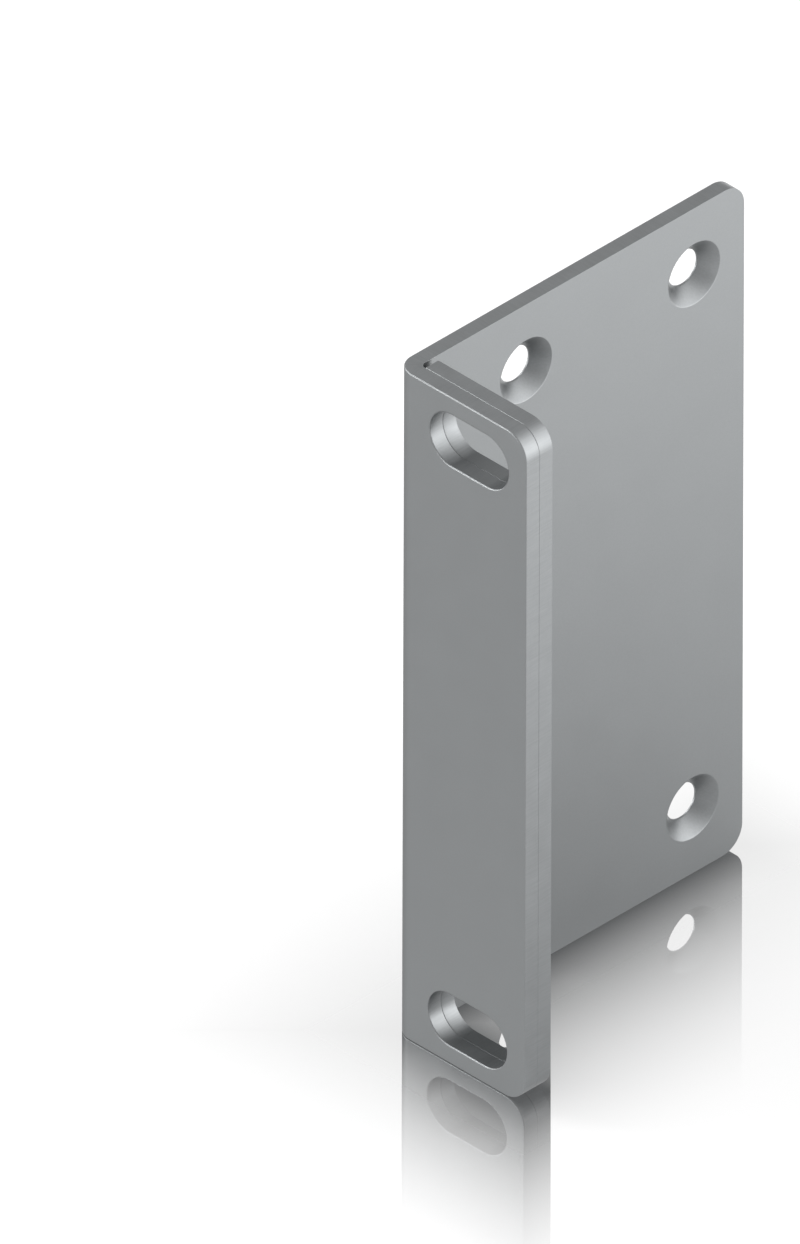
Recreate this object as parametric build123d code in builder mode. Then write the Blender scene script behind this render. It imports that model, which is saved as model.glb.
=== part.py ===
from build123d import *
import os

# Rack ear bracket for the right-hand side of a two-unit case, sizes in millimetres.
# A steel sheet is folded into an L. Its side plate is screwed to the case, and its
# ear bolts to the front of the rack rail, with a backing plate that doubles the ear.
# +Z is up, -Y is the front of the rack and -X is the side where the case stands.
# The origin is the middle of the footprint, level with the lower cut edges.

# Sheet and outline
height = 87.5
ear_width = 20.1
plate_depth = 51.3
sheet_thickness = 2.0
bend_inner_radius = 0.5
ear_corner_radius = 3.0
plate_corner_radius = 3.0
edge_break = 0.15

# Backing plate behind the ear
backing_thickness = 2.0
backing_bend_clearance = 0.1

# Rack slots, whose centres come out 76.2 apart, the two-unit pitch of the rail
slot_from_cut_edge = 5.65
slot_from_ear_edge = 8.75
slot_length = 12.0
slot_width = 6.8

# Countersunk screw holes, with their heads sunk in the plate's inner face
hole_diameter = 4.4
countersink_diameter = 7.9
countersink_angle = 90
hole_spacing_deep = 25.6
hole_from_rear_edge = 7.6
hole_from_cut_edge = 8.65

# Places worked out from the sizes
case_side = -ear_width / 2
ear_edge = ear_width / 2
ear_front = -plate_depth / 2
rear_edge = plate_depth / 2
bend_outer_radius = bend_inner_radius + sheet_thickness
ear_back = ear_front + sheet_thickness
backing_start = case_side + sheet_thickness + bend_inner_radius + backing_bend_clearance
backing_width = ear_edge - backing_start
ear_thickness = sheet_thickness + backing_thickness
slot_spacing = height - 2 * slot_from_cut_edge
hole_spacing_high = height - 2 * hole_from_cut_edge
hole_pattern_middle = rear_edge - hole_from_rear_edge - hole_spacing_deep / 2

slot_plane = Plane(
    origin=(ear_edge - slot_from_ear_edge, ear_front, height / 2),
    x_dir=(1, 0, 0),
    z_dir=(0, -1, 0),
)
screw_plane = Plane(
    origin=(case_side + sheet_thickness, hole_pattern_middle, height / 2),
    x_dir=(0, 1, 0),
    z_dir=(1, 0, 0),
)

# One sketch of the two slots cuts both sheets of the ear, so that they line up
with BuildSketch(slot_plane) as rack_slots:
    with GridLocations(0, slot_spacing, 1, 2):
        SlotOverall(slot_length, slot_width)

# Folded sheet: side plate, bend and ear in one piece
with BuildPart() as folded_bracket:
    with BuildLine(Plane.XY) as outer_fold_line:
        FilletPolyline(
            (case_side, rear_edge),
            (case_side, ear_front),
            (ear_edge, ear_front),
            radius=bend_outer_radius,
        )
    make_brake_formed(thickness=sheet_thickness, station_widths=height, side=Side.LEFT)

    ear_corners = folded_bracket.edges().filter_by(Axis.Y).group_by(Axis.X)[-1]
    fillet(ear_corners, ear_corner_radius)
    plate_corners = folded_bracket.edges().filter_by(Axis.X).group_by(Axis.Y)[-1]
    fillet(plate_corners, plate_corner_radius)

    # The plate's long edges run on through the bend and the corners, so a fillet
    # on them goes round the whole outline of both faces
    long_edges = folded_bracket.edges().filter_by(Axis.Y).group_by(SortBy.LENGTH)[-1]
    fillet(long_edges, edge_break)

    extrude(rack_slots.sketch, amount=-ear_thickness, mode=Mode.SUBTRACT)
    slot_rims = folded_bracket.edges(Select.LAST).filter_by(Axis.Y, reverse=True)
    chamfer(slot_rims, edge_break)

    with Locations(screw_plane):
        with GridLocations(hole_spacing_deep, hole_spacing_high, 2, 2):
            CounterSinkHole(
                radius=hole_diameter / 2,
                counter_sink_radius=countersink_diameter / 2,
                counter_sink_angle=countersink_angle,
            )
    countersink_mouths = folded_bracket.edges(Select.LAST).group_by(Axis.X)[-1]
    fillet(countersink_mouths, edge_break)
folded_bracket.part.label = "folded_bracket"

# Backing plate: same outer corners and slots as the ear, square where it meets the bend
with BuildPart() as ear_backing_plate:
    with BuildSketch(Plane.XZ.offset(-ear_back)):
        with Locations((backing_start, 0)):
            Rectangle(backing_width, height, align=Align.MIN)
    extrude(amount=-backing_thickness)

    outer_corners = ear_backing_plate.edges().filter_by(Axis.Y).group_by(Axis.X)[-1]
    fillet(outer_corners, ear_corner_radius)
    outer_rims = ear_backing_plate.edges().filter_by(Axis.Y, reverse=True)
    fillet(outer_rims, edge_break)

    extrude(rack_slots.sketch, amount=-ear_thickness, mode=Mode.SUBTRACT)
    slot_rims = ear_backing_plate.edges(Select.LAST).filter_by(Axis.Y, reverse=True)
    chamfer(slot_rims, edge_break)
ear_backing_plate.part.label = "ear_backing_plate"

os.makedirs("parts", exist_ok=True)
for piece in (folded_bracket, ear_backing_plate):
    export_step(piece.part, f"parts/{piece.part.label}.step")
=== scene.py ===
import math
import bmesh
import bpy
from mathutils import Matrix, Vector


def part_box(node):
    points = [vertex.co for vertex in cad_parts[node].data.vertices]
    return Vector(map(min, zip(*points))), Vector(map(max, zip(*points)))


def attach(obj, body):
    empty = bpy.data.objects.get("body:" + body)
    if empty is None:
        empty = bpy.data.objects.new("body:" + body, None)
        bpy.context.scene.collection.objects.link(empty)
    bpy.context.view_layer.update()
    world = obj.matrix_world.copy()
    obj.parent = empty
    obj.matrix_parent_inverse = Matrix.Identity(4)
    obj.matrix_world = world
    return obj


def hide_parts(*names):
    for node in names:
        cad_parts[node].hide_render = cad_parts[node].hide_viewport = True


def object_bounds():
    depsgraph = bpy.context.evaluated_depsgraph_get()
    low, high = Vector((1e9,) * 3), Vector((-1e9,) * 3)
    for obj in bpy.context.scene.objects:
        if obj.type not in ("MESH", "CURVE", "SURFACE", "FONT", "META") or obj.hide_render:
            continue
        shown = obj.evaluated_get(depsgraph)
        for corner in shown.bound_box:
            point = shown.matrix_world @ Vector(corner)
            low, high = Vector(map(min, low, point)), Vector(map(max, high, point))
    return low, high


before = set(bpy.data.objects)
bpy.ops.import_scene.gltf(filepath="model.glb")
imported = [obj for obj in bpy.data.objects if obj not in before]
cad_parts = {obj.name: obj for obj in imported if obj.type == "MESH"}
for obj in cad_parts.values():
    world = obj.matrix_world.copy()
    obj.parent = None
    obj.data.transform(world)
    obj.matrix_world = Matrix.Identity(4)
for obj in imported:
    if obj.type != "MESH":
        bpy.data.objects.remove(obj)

mm = 0.001
cadLow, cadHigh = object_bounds()
print("stage 1: frame loaded, nodes", ", ".join(sorted(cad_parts)))


# Small helpers for node trees, used for the geometry and for the materials

def addNode(tree, kind, inputs=(), **settings):
    node = tree.nodes.new(kind)
    for name, value in settings.items():
        setattr(node, name, value)
    for socket, value in dict(inputs).items():
        if isinstance(value, bpy.types.NodeSocket):
            tree.links.new(value, node.inputs[socket])
        else:
            node.inputs[socket].default_value = value
    return node


def maths(tree, operation, *values):
    return addNode(tree, "ShaderNodeMath", enumerate(values), operation=operation).outputs[0]


def makeTree(name, inputs):
    tree = bpy.data.node_groups.new(name, "GeometryNodeTree")
    tree.is_modifier = True
    tree.interface.new_socket("Geometry", in_out="OUTPUT", socket_type="NodeSocketGeometry")
    tree.interface.new_socket("Geometry", in_out="INPUT", socket_type="NodeSocketGeometry")
    for label, kind in inputs:
        tree.interface.new_socket(label, in_out="INPUT", socket_type="NodeSocket" + kind)
    source = tree.nodes.new("NodeGroupInput").outputs
    return tree, source, tree.nodes.new("NodeGroupOutput")


def addModifier(piece, tree, values):
    modifier = piece.modifiers.new(tree.name, "NODES")
    modifier.node_group = tree
    for item in tree.interface.items_tree:
        if item.in_out == "INPUT" and item.name in values:
            modifier[item.identifier] = values[item.name]


# Metals. The attribute "flat" holds each point's place on the unfolded sheet in metres, so
# the grain follows the sheet round the bend and the cutting marks run through its edges.

rolledFinish = {
    "dark": (0.255, 0.264, 0.269, 1.0),
    "light": (0.269, 0.279, 0.284, 1.0),
    "roughness": (0.36, 0.42),
    "glancing": (0.55, 0.55, 0.55, 1.0),  # tint of the shine at glancing angles
    "grainScale": 6200.0,             # per metre
    "grainStretch": (1.0, 1.0, 1.0),
    "cloudScale": 240.0,
    "bump": 0.12,
    "bumpHeight": 0.00001,
}
cutFinish = {
    "dark": (0.247, 0.256, 0.261, 1.0),
    "light": (0.277, 0.287, 0.293, 1.0),
    "roughness": (0.40, 0.48),
    "glancing": (0.90, 0.90, 0.90, 1.0),
    "grainScale": 5200.0,
    "grainStretch": (1.0, 0.06, 1.0),  # drawn out through the thickness
    "cloudScale": 420.0,
    "bump": 0.10,
    "bumpHeight": 0.00001,
}
metalNoise = {                        # shared by both finishes
    "grainDetail": 2.0,
    "grainRoughness": 0.6,
    "cloudDetail": 3.0,
    "cloudShare": 0.3,                # of the tone; the grain has the rest
    "low": 0.3,                       # the noises lie mostly between these two
    "high": 0.7,
}


def makeMetal(name, finish):
    material = bpy.data.materials.new(name)
    material.use_nodes = True
    tree = material.node_tree
    tree.nodes.clear()
    flat = addNode(tree, "ShaderNodeAttribute", attribute_name="flat").outputs["Vector"]
    drawn = addNode(tree, "ShaderNodeVectorMath", {0: flat, 1: finish["grainStretch"]},
                    operation="MULTIPLY").outputs[0]
    grain = addNode(tree, "ShaderNodeTexNoise", {
        "Vector": drawn, "Scale": finish["grainScale"],
        "Detail": metalNoise["grainDetail"], "Roughness": metalNoise["grainRoughness"],
    }).outputs["Fac"]
    cloud = addNode(tree, "ShaderNodeTexNoise", {
        "Vector": flat, "Scale": finish["cloudScale"], "Detail": metalNoise["cloudDetail"],
    }).outputs["Fac"]

    def between(value, low, high):
        return addNode(tree, "ShaderNodeMapRange", {
            "Value": value, "From Min": metalNoise["low"], "From Max": metalNoise["high"],
            "To Min": low, "To Max": high,
        }).outputs[0]

    cloudShare = metalNoise["cloudShare"]
    tone = maths(tree, "ADD", between(grain, 0.0, 1.0 - cloudShare), between(cloud, 0.0, cloudShare))
    colour = addNode(tree, "ShaderNodeMix", {0: tone, 6: finish["dark"], 7: finish["light"]},
                     data_type="RGBA").outputs[2]
    relief = addNode(tree, "ShaderNodeBump", {
        "Strength": finish["bump"], "Distance": finish["bumpHeight"], "Height": grain,
    }).outputs[0]
    shader = addNode(tree, "ShaderNodeBsdfPrincipled", {
        "Base Color": colour, "Metallic": 1.0, "Normal": relief,
        "Roughness": between(cloud, *finish["roughness"]), "Specular Tint": finish["glancing"],
    })
    addNode(tree, "ShaderNodeOutputMaterial", {"Surface": shader.outputs[0]})
    return material


rolledMetal = makeMetal("satinRolledSteel", rolledFinish)
cutMetal = makeMetal("cutSteelEdge", cutFinish)
print("stage 2: metals made")


# Both sheets are made flat first, in millimetres: x runs along the developed length from
# the start of the bend, y through the thickness from the outer face, and z up. They are
# punched flat, and the fold tree then folds them into the frame of the CAD, in metres.

fold = {
    "thickness": 2.0,
    "innerRadius": 0.5,
    "angle": 90.0,
    "strips": 18,                     # facets round the bend
    "cornerSteps": 14,                # facets of a rounded corner of the outline
    "rimSteps": 5,                    # and of a rounded rim
    "cutCosine": 0.8,                 # a face that turns further from the sheet's is a cut one
    "normalWeight": 50,               # how much the large faces straighten the shading beside them
}
toolReach = 1.0                       # how far each punching tool stands out past the sheet
sheetLow, sheetHigh = (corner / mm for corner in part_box("folded_bracket"))
backLow, backHigh = (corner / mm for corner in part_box("ear_backing_plate"))
outerRadius = fold["innerRadius"] + fold["thickness"]
bendLength = math.radians(fold["angle"]) * (fold["innerRadius"] + fold["thickness"] / 2)
bendCentre = Vector((sheetLow.x + outerRadius, sheetLow.y + outerRadius, 0.0))
middleZ = (sheetLow.z + sheetHigh.z) / 2


def alongEar(x):                      # developed length of a place on the ear
    return bendLength + x - bendCentre.x


def alongPlate(y):                    # and of a place on the side plate
    return bendCentre.y - y


def closedShell(rings):
    bm = bmesh.new()
    made = [[bm.verts.new(point) for point in ring] for ring in rings]
    for ring, following in zip(made, made[1:]):
        for i, vert in enumerate(ring):
            j = (i + 1) % len(ring)
            bm.faces.new((vert, ring[j], following[j], following[i]))
    bm.faces.new(made[0])
    bm.faces.new(made[-1])
    bmesh.ops.recalc_face_normals(bm, faces=bm.faces)
    return bm


def asObject(bm, name):
    mesh = bpy.data.meshes.new(name)
    bm.to_mesh(mesh)
    bm.free()
    piece = bpy.data.objects.new(name, mesh)
    bpy.context.scene.collection.objects.link(piece)
    return piece


def quarter(steps):
    return [math.radians(90 * i / steps) for i in range(steps + 1)]


def sheetOutline(low, high, radii, inset):
    corners = ((low[0], low[1], 1, 1, 180), (high[0], low[1], -1, 1, 270),
               (high[0], high[1], -1, -1, 0), (low[0], high[1], 1, -1, 90))
    points = []
    for (x, z, inX, inZ, start), radius in zip(corners, radii):
        for turn in quarter(fold["cornerSteps"]):
            a = math.radians(start) + turn
            points.append((x + inX * radius + (radius - inset) * math.cos(a),
                           z + inZ * radius + (radius - inset) * math.sin(a)))
    return points


def rimmedSide(rims):                 # (depth, inset) from the outer face to the inner one
    outer, inner = (
        [(rim * (1 - math.cos(a)), rim * (1 - math.sin(a))) for a in quarter(fold["rimSteps"])]
        for rim in rims
    )
    return outer + [(fold["thickness"] - y, inset) for y, inset in reversed(inner)]


def flatSheet(name, low, high, depth, radii, rims, bends=()):
    bm = closedShell([
        [(x, depth + y, z) for x, z in sheetOutline(low, high, radii, inset)]
        for y, inset in rimmedSide(rims)
    ])
    for x in bends:
        bmesh.ops.bisect_plane(bm, geom=bm.verts[:] + bm.edges[:] + bm.faces[:],
                               plane_co=(x, 0, 0), plane_no=(1, 0, 0))
    return asObject(bm, name)


# Punch for a rack slot: its mouths widen in a quarter round, which rounds the slot's rims

rackSlots = {
    "length": 12.0,
    "width": 6.8,
    "fromEarEdge": 8.75,
    "spacing": 76.2,
    "endSteps": 40,
}


def slotPunch(name, depth, rims):
    middle = (rackSlots["length"] - rackSlots["width"]) / 2
    steps = rackSlots["endSteps"]
    side = [(-toolReach, rims[0])] + rimmedSide(rims) + [(fold["thickness"] + toolReach, rims[1])]
    rings = []
    for y, widen in side:
        radius = rackSlots["width"] / 2 + widen
        ring = []
        for end in (1, -1):
            for i in range(steps + 1):
                a = math.radians(-90 + 180 * i / steps)
                x = middle + radius * math.cos(a)
                ring.append((end * x, depth + y, end * radius * math.sin(a)))
        rings.append(ring)
    return asObject(closedShell(rings), name)


# Drill and countersink in one tool, turned about y

screwHoles = {
    "radius": 2.2,
    "headRadius": 3.95,
    "halfAngle": 45.0,                # of the cone
    "acrossSpacing": 25.6,
    "upSpacing": 70.2,
    "fromRearEdge": 7.6,
    "burr": 0.06,                     # break at the outer face
    "burrSteps": 4,
    "coneBreak": 0.03,                # break where the cone meets the hole
    "mouthRadius": 0.15,              # rounding where the cone meets the inner face
    "mouthSteps": 4,
    "facets": 96,
}


def countersinkTool(name):
    thickness, crisp = fold["thickness"], screwHoles["coneBreak"]
    hole, head = screwHoles["radius"], screwHoles["headRadius"]
    burr, mouth = screwHoles["burr"], screwHoles["mouthRadius"]
    steps, facets = screwHoles["mouthSteps"], screwHoles["facets"]
    slope = math.tan(math.radians(screwHoles["halfAngle"]))
    lean = 90.0 - screwHoles["halfAngle"]
    coneStart = thickness - (head - hole) / slope
    tangent = mouth * math.tan(math.radians(lean / 2))
    side = [(-toolReach, hole + burr)]
    for a in reversed(quarter(screwHoles["burrSteps"])):
        side.append((burr * (1 - math.sin(a)), hole + burr * (1 - math.cos(a))))
    side += [(coneStart - crisp, hole), (coneStart + crisp, hole + crisp * slope)]
    for i in range(steps + 1):
        a = math.radians(lean - lean * i / steps)
        side.append((thickness - mouth * (1 - math.cos(a)), head + tangent - mouth * math.sin(a)))
    side.append((thickness + toolReach, head + tangent))
    turns = [2 * math.pi * i / facets for i in range(facets)]
    rings = [[(radius * math.cos(a), y, radius * math.sin(a)) for a in turns] for y, radius in side]
    return asObject(closedShell(rings), name)


# Tree that punches one tool through a sheet on a grid of places

def punchTree():
    tree, source, out = makeTree("punch", (
        ("Tool", "Object"), ("Centre", "Vector"), ("Columns", "Int"), ("Rows", "Int"),
        ("Column spacing", "Float"), ("Row spacing", "Float"), ("Finish", "Material"),
    ))
    columns = maths(tree, "SUBTRACT", source["Columns"], 1.0)
    rows = maths(tree, "SUBTRACT", source["Rows"], 1.0)
    grid = addNode(tree, "GeometryNodeMeshGrid", {
        "Size X": maths(tree, "MULTIPLY", columns, source["Column spacing"]),
        "Size Y": maths(tree, "MULTIPLY", rows, source["Row spacing"]),
        "Vertices X": source["Columns"], "Vertices Y": source["Rows"],
    })
    placed = addNode(tree, "GeometryNodeTransform", {
        "Geometry": grid.outputs["Mesh"], "Translation": source["Centre"],
        "Rotation": (math.pi / 2, 0.0, 0.0),
    })
    tool = addNode(tree, "GeometryNodeObjectInfo", {"Object": source["Tool"]})
    tools = addNode(tree, "GeometryNodeInstanceOnPoints", {
        "Points": placed.outputs[0], "Instance": tool.outputs["Geometry"],
    })
    solid = addNode(tree, "GeometryNodeRealizeInstances", {0: tools.outputs[0]})
    punched = addNode(tree, "GeometryNodeMeshBoolean", {
        "Mesh 1": source["Geometry"], "Mesh 2": solid.outputs[0],
    }, operation="DIFFERENCE", solver="EXACT")
    real = addNode(tree, "GeometryNodeRealizeInstances", {0: punched.outputs[0]})
    finished = addNode(tree, "GeometryNodeSetMaterial", {
        "Geometry": real.outputs[0], "Material": source["Finish"],
    })
    tree.links.new(finished.outputs[0], out.inputs[0])
    return tree


# Tree that folds a flat sheet about the bend and gives its faces and cut edges their metals

def foldTree():
    tree, source, out = makeTree("foldSheet", (
        ("Bend length", "Float"), ("Bend angle", "Float"), ("Outer radius", "Float"),
        ("Bend centre", "Vector"), ("Unit", "Float"),
        ("Face finish", "Material"), ("Edge finish", "Material"),
    ))
    place = tree.nodes.new("GeometryNodeInputPosition").outputs[0]
    flat = addNode(tree, "GeometryNodeStoreNamedAttribute", {
        "Geometry": source["Geometry"], "Name": "flat",
        "Value": addNode(tree, "ShaderNodeVectorMath", {0: place, "Scale": source["Unit"]},
                         operation="SCALE").outputs[0],
    }, data_type="FLOAT_VECTOR", domain="POINT")

    facing = addNode(tree, "ShaderNodeSeparateXYZ", {
        0: tree.nodes.new("GeometryNodeInputNormal").outputs[0]}).outputs["Y"]
    isCut = addNode(tree, "FunctionNodeCompare", {
        0: maths(tree, "ABSOLUTE", facing), 1: fold["cutCosine"],
    }, data_type="FLOAT", operation="LESS_THAN").outputs[0]
    marked = addNode(tree, "GeometryNodeStoreNamedAttribute", {
        "Geometry": flat.outputs[0], "Name": "cutFace", "Value": isCut,
    }, data_type="BOOLEAN", domain="FACE")

    x, y, z = addNode(tree, "ShaderNodeSeparateXYZ", {0: place}).outputs
    along = maths(tree, "MINIMUM", maths(tree, "MAXIMUM", x, 0.0), source["Bend length"])
    bentShare = maths(tree, "DIVIDE", along, source["Bend length"])
    turn = maths(tree, "MULTIPLY", bentShare, source["Bend angle"])
    beyond = maths(tree, "SUBTRACT", x, along)
    radius = maths(tree, "SUBTRACT", source["Outer radius"], y)
    sine, cosine = maths(tree, "SINE", turn), maths(tree, "COSINE", turn)
    outX = maths(tree, "SUBTRACT", maths(tree, "MULTIPLY", beyond, sine),
                 maths(tree, "MULTIPLY", radius, cosine))
    outY = maths(tree, "ADD", maths(tree, "MULTIPLY", beyond, cosine),
                 maths(tree, "MULTIPLY", radius, sine))
    bent = addNode(tree, "ShaderNodeCombineXYZ", {
        "X": outX, "Y": maths(tree, "MULTIPLY", outY, -1.0), "Z": z,
    })
    moved = addNode(tree, "ShaderNodeVectorMath", {0: bent.outputs[0], 1: source["Bend centre"]},
                    operation="ADD").outputs[0]
    inMetres = addNode(tree, "ShaderNodeVectorMath", {0: moved, "Scale": source["Unit"]},
                       operation="SCALE").outputs[0]
    folded = addNode(tree, "GeometryNodeSetPosition", {
        "Geometry": marked.outputs[0], "Position": inMetres,
    })
    smooth = addNode(tree, "GeometryNodeSetShadeSmooth", {"Geometry": folded.outputs[0]})
    real = addNode(tree, "GeometryNodeRealizeInstances", {0: smooth.outputs[0]})
    faces = addNode(tree, "GeometryNodeSetMaterial", {
        "Geometry": real.outputs[0], "Material": source["Face finish"],
    })
    wasCut = addNode(tree, "GeometryNodeInputNamedAttribute", {"Name": "cutFace"}, data_type="BOOLEAN")
    edges = addNode(tree, "GeometryNodeSetMaterial", {
        "Geometry": faces.outputs[0], "Selection": wasCut.outputs[0],
        "Material": source["Edge finish"],
    })
    tree.links.new(edges.outputs[0], out.inputs[0])
    return tree


punch, foldSheet = punchTree(), foldTree()
foldValues = {
    "Bend length": bendLength,
    "Bend angle": math.radians(fold["angle"]),
    "Outer radius": outerRadius,
    "Bend centre": bendCentre,
    "Unit": mm,
    "Face finish": rolledMetal,
    "Edge finish": cutMetal,
}


def punchAndFold(sheet, name, cuts):
    for tool, centre, columns, rows, columnSpacing, rowSpacing in cuts:
        addModifier(sheet, punch, {
            "Tool": tool, "Centre": centre, "Columns": columns, "Rows": rows,
            "Column spacing": columnSpacing, "Row spacing": rowSpacing, "Finish": rolledMetal,
        })
    addModifier(sheet, foldSheet, foldValues)
    weighted = sheet.modifiers.new("faceWeightedNormals", "WEIGHTED_NORMAL")
    weighted.weight = fold["normalWeight"]
    bpy.context.view_layer.update()
    graph = bpy.context.evaluated_depsgraph_get()
    mesh = bpy.data.meshes.new_from_object(sheet.evaluated_get(graph),
                                           preserve_all_data_layers=True, depsgraph=graph)
    mesh.name = name
    piece = bpy.data.objects.new(name, mesh)
    bpy.context.scene.collection.objects.link(piece)
    for spent in [sheet] + [cut[0] for cut in cuts]:
        bpy.data.objects.remove(spent)
    return piece


# Folded sheet: side plate, bend and ear. A sheared edge is round on the face that the blade
# enters, here the outer one, and keen on the other.

foldedSheet = {
    "plateCornerRadius": 3.0,
    "earCornerRadius": 3.0,
    "rims": (0.15, 0.02),             # outer face, inner face
}
slotX = sheetHigh.x - rackSlots["fromEarEdge"]
holeY = sheetHigh.y - screwHoles["fromRearEdge"] - screwHoles["acrossSpacing"] / 2
plateEnd, earEnd = alongPlate(sheetHigh.y), alongEar(sheetHigh.x)
bendLines = [bendLength * i / fold["strips"] for i in range(fold["strips"] + 1)]
plateRadius, earRadius = foldedSheet["plateCornerRadius"], foldedSheet["earCornerRadius"]

blank = flatSheet("bracketBlank", (plateEnd, sheetLow.z), (earEnd, sheetHigh.z), 0.0,
                  (plateRadius, earRadius, earRadius, plateRadius), foldedSheet["rims"], bendLines)
bracket = punchAndFold(blank, "foldedBracketSheet", [
    (slotPunch("slotPunchFront", 0.0, foldedSheet["rims"]), Vector((alongEar(slotX), 0.0, middleZ)),
     1, 2, 0.0, rackSlots["spacing"]),
    (countersinkTool("countersinkTool"), Vector((alongPlate(holeY), 0.0, middleZ)),
     2, 2, screwHoles["acrossSpacing"], screwHoles["upSpacing"]),
])
print("stage 3: folded sheet,", len(bracket.data.polygons), "faces")

# Backing plate: flat behind the ear, square where it meets the bend

backingPlate = {
    "innerCornerRadius": 0.2,
    "rims": (0.11, 0.05),             # on the ear, at the back
}
squareRadius = backingPlate["innerCornerRadius"]
blank = flatSheet("backingBlank", (alongEar(backLow.x), backLow.z),
                  (alongEar(backHigh.x), backHigh.z), fold["thickness"],
                  (squareRadius, earRadius, earRadius, squareRadius), backingPlate["rims"])
backing = punchAndFold(blank, "earBackingSheet", [
    (slotPunch("slotPunchBack", fold["thickness"], backingPlate["rims"]),
     Vector((alongEar(slotX), 0.0, middleZ)), 1, 2, 0.0, rackSlots["spacing"]),
])
print("stage 4: backing plate,", len(backing.data.polygons), "faces")

for piece, node, slotName in ((bracket, "folded_bracket", "bracket_sheet"),
                              (backing, "ear_backing_plate", "backing_sheet")):
    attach(piece, "root")
    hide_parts(node)


# Studio: a white floor that mirrors the object near its foot, an even sky with a broad glow
# low at the right rear, and softboxes

studio = {
    "floorSize": 6.0,
    "floorGap": 0.00003,              # from the object's foot down to the floor
    "paper": (0.40, 0.40, 0.40, 1.0),
    "whiteness": 0.63,                # what the floor adds to its own look for the camera
    "reflectedWhiteness": 0.53,       # and in the metal's reflections
    "reflectedRise": 5.6,             # how much brighter it gets there for each metre to the right rear
    "reflectedReach": 0.3,            # metres over which it does
    "reflectedNear": 0.08,            # what it adds there at the object's foot
    "mirror": 1.0,                    # share of the floor's look that is mirror, at the foot
    "mirrorReach": 0.036,             # metres over which it fades
    "mirrorFade": 2.0,
    "mirrorHandover": 0.0002,         # metres over which it passes from the ear to the plate
    "mirrorTone": (0.59, 0.59, 0.59, 1.0),
    "mirroredSky": 1.40,              # brightness of the sky that the floor mirrors
    "sky": 0.672,
    "glow": 2.69,                     # what the glow adds at its middle
    "glowDirection": (0.78, 0.61, 0.14),
    "glowEdge": 0.2,                  # cosine at which it ends
    "glowFade": 2.5,
    "glowDepth": 2.5,                 # ray depth below which it is met
}
lamps = {                             # softboxes, in metres, aimed at the object's middle
    "rightRearSoftbox": {"place": (0.212, 0.212, 0.065), "size": (0.46, 0.13), "radiance": 0.40},
    "leftFrontSoftbox": {"place": (-0.58, -0.65, 0.20), "size": (1.00, 0.24), "radiance": 6.2},
    "highLeftSoftbox": {"place": (-0.59, -0.16, 0.77), "size": (0.30, 0.30), "radiance": 9.8},
}


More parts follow.
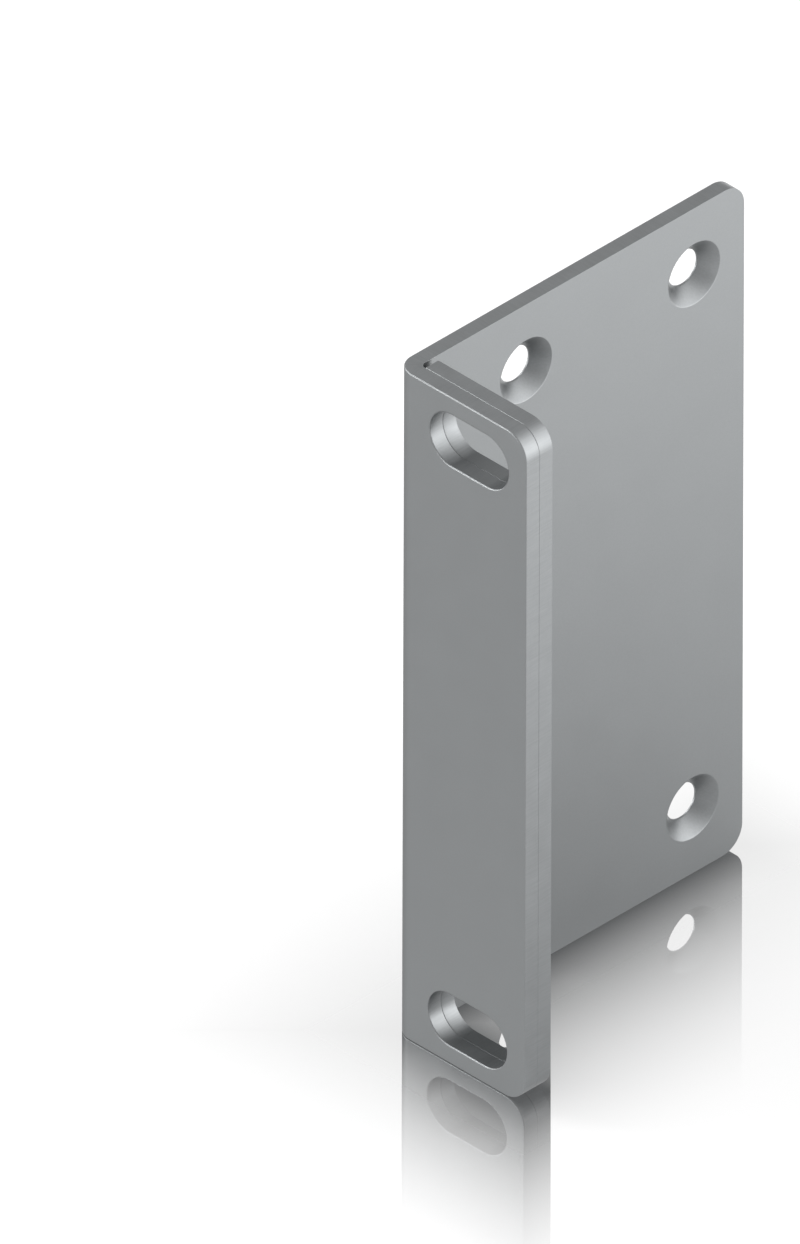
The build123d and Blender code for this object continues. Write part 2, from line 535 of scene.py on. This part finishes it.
def makeFloor():
    half = studio["floorSize"] / 2
    mesh = bpy.data.meshes.new("paleFloor")
    corners = [(-half, -half, 0), (half, -half, 0), (half, half, 0), (-half, half, 0)]
    mesh.from_pydata(corners, [], [(0, 1, 2, 3)])
    floor = bpy.data.objects.new("paleFloor", mesh)
    bpy.context.scene.collection.objects.link(floor)
    floor.location.z = cadLow.z - studio["floorGap"]
    material = bpy.data.materials.new("palePaper")
    material.use_nodes = True
    tree = material.node_tree
    tree.nodes.clear()
    place = addNode(tree, "ShaderNodeTexCoord").outputs["Object"]
    x, y, _ = addNode(tree, "ShaderNodeSeparateXYZ", {0: place}).outputs

    def outside(value, low, high):
        below = maths(tree, "SUBTRACT", low, value)
        above = maths(tree, "SUBTRACT", value, high)
        return maths(tree, "MAXIMUM", maths(tree, "MAXIMUM", below, above), 0.0)

    def away(lowX, highX, lowY, highY):
        return maths(tree, "MAXIMUM", outside(x, lowX, highX), outside(y, lowY, highY))

    def step(value, start, width, low, high):
        return addNode(tree, "ShaderNodeMapRange", {
            "Value": value, "From Min": start, "From Max": start + width,
            "To Min": low, "To Max": high,
        }).outputs[0]

    # Where the floor shows the plate past the ear's end, only its way to the plate counts
    wall = fold["thickness"] * mm
    earBack = cadLow.y + 2 * wall
    across = maths(tree, "ADD", x, y)
    pastEar = step(across, cadHigh.x + earBack, studio["mirrorHandover"], 0.0, 1.0)
    ear = maths(tree, "ADD", away(cadLow.x, cadHigh.x, cadLow.y, earBack), pastEar)
    plate = away(cadLow.x, cadLow.x + wall, cadLow.y, cadHigh.y)
    near = step(maths(tree, "MINIMUM", ear, plate), 0.0, studio["mirrorReach"], 1.0, 0.0)
    path = addNode(tree, "ShaderNodeLightPath").outputs
    share = maths(tree, "MULTIPLY", maths(tree, "POWER", near, studio["mirrorFade"]),
                  maths(tree, "MULTIPLY", path["Is Camera Ray"], studio["mirror"]))

    # Its brightness in the metal's reflections, and then for the camera
    rightRear = maths(tree, "MULTIPLY", across, math.sqrt(0.5))
    reach = maths(tree, "MINIMUM", maths(tree, "MAXIMUM", rightRear, 0.0), studio["reflectedReach"])
    rise = maths(tree, "MULTIPLY", reach, studio["reflectedRise"])
    lift = maths(tree, "ADD", maths(tree, "MULTIPLY", near, studio["reflectedNear"]),
                 studio["reflectedWhiteness"])
    reflected = maths(tree, "MULTIPLY", maths(tree, "ADD", rise, lift),
                      maths(tree, "MAXIMUM", path["Is Glossy Ray"], path["Is Transmission Ray"]))
    seen = maths(tree, "MULTIPLY", path["Is Camera Ray"], studio["whiteness"])
    fill = addNode(tree, "ShaderNodeEmission", {"Strength": maths(tree, "ADD", seen, reflected)})
    diffuse = addNode(tree, "ShaderNodeBsdfDiffuse", {"Color": studio["paper"]})
    paper = addNode(tree, "ShaderNodeAddShader", {0: diffuse.outputs[0], 1: fill.outputs[0]})
    mirror = addNode(tree, "ShaderNodeBsdfGlossy", {"Color": studio["mirrorTone"], "Roughness": 0.0})
    both = addNode(tree, "ShaderNodeMixShader", {0: share, 1: paper.outputs[0], 2: mirror.outputs[0]})
    addNode(tree, "ShaderNodeOutputMaterial", {"Surface": both.outputs[0]})
    mesh.materials.append(material)


def makeSky():
    world = bpy.data.worlds.new("studioAir")
    bpy.context.scene.world = world
    world.use_nodes = True
    tree = world.node_tree
    tree.nodes.clear()
    direction = addNode(tree, "ShaderNodeTexCoord").outputs["Generated"]
    toGlow = addNode(tree, "ShaderNodeVectorMath", {0: direction, 1: studio["glowDirection"]},
                     operation="DOT_PRODUCT").outputs["Value"]
    inGlow = addNode(tree, "ShaderNodeMapRange", {
        "Value": toGlow, "From Min": studio["glowEdge"], "From Max": 1.0, "To Min": 0.0, "To Max": 1.0,
    }).outputs[0]
    # Met only by rays that have bounced once, which keeps the plate dark in the floor's mirror
    path = addNode(tree, "ShaderNodeLightPath").outputs
    first = maths(tree, "LESS_THAN", path["Ray Depth"], studio["glowDepth"])
    lobe = maths(tree, "MULTIPLY", maths(tree, "POWER", inGlow, studio["glowFade"]), first)
    glow = maths(tree, "MULTIPLY", lobe, studio["glow"])
    # White where the camera sees it, also by way of the floor's mirror, which is a sharp one
    mirrored = maths(tree, "MULTIPLY", path["Is Singular Ray"], studio["mirroredSky"])
    white = maths(tree, "ADD", mirrored, path["Is Camera Ray"])
    strength = maths(tree, "MAXIMUM", maths(tree, "ADD", glow, studio["sky"]), white)
    background = addNode(tree, "ShaderNodeBackground", {
        "Color": (1.0, 1.0, 1.0, 1.0), "Strength": strength,
    })
    addNode(tree, "ShaderNodeOutputWorld", {"Surface": background.outputs[0]})


def makeSoftbox(name, lamp):
    width, height = lamp["size"]
    data = bpy.data.lights.new(name, "AREA")
    data.shape, data.size, data.size_y = "RECTANGLE", width, height
    data.energy = math.pi * width * height * lamp["radiance"]
    softbox = bpy.data.objects.new(name, data)
    bpy.context.scene.collection.objects.link(softbox)
    softbox.location = lamp["place"]
    toObject = (cadLow + cadHigh) / 2 - softbox.location
    softbox.rotation_euler = toObject.to_track_quat("-Z", "Y").to_euler()


makeFloor()
makeSky()
for name, lamp in lamps.items():
    makeSoftbox(name, lamp)
print("stage 5: floor, sky and", len(lamps), "softboxes")


# Camera: far off and without perspective, as the photograph's lines run parallel

cameraSetup = {
    "azimuth": 44.885,
    "elevation": 35.07,
    "roll": -0.18,
    "frameHeight": 0.13396,           # metres across the picture's long side
    "right": -0.02453,                # the picture's middle from the object's, to the camera's right
    "up": 0.00185,                    # and up
    "distance": 2.0,
    "clipEnd": 20.0,
}
azimuth, elevation = math.radians(cameraSetup["azimuth"]), math.radians(cameraSetup["elevation"])
back = Vector((math.sin(azimuth) * math.cos(elevation), -math.cos(azimuth) * math.cos(elevation),
               math.sin(elevation)))
level = Vector((math.cos(azimuth), math.sin(azimuth), 0.0))
roll = math.radians(cameraSetup["roll"])
right = level * math.cos(roll) - back.cross(level) * math.sin(roll)
up = back.cross(right)
cameraData = bpy.data.cameras.new("camera")
cameraData.type = "ORTHO"
cameraData.ortho_scale = cameraSetup["frameHeight"]
cameraData.clip_end = cameraSetup["clipEnd"]
camera = bpy.data.objects.new("camera", cameraData)
bpy.context.scene.collection.objects.link(camera)
camera.location = ((cadLow + cadHigh) / 2 + right * cameraSetup["right"] + up * cameraSetup["up"]
                   + back * cameraSetup["distance"])
camera.rotation_euler = Matrix((right, up, back)).transposed().to_euler()
bpy.context.scene.camera = camera
bpy.context.scene.view_settings.view_transform = "Standard"
print("stage 6: camera placed")
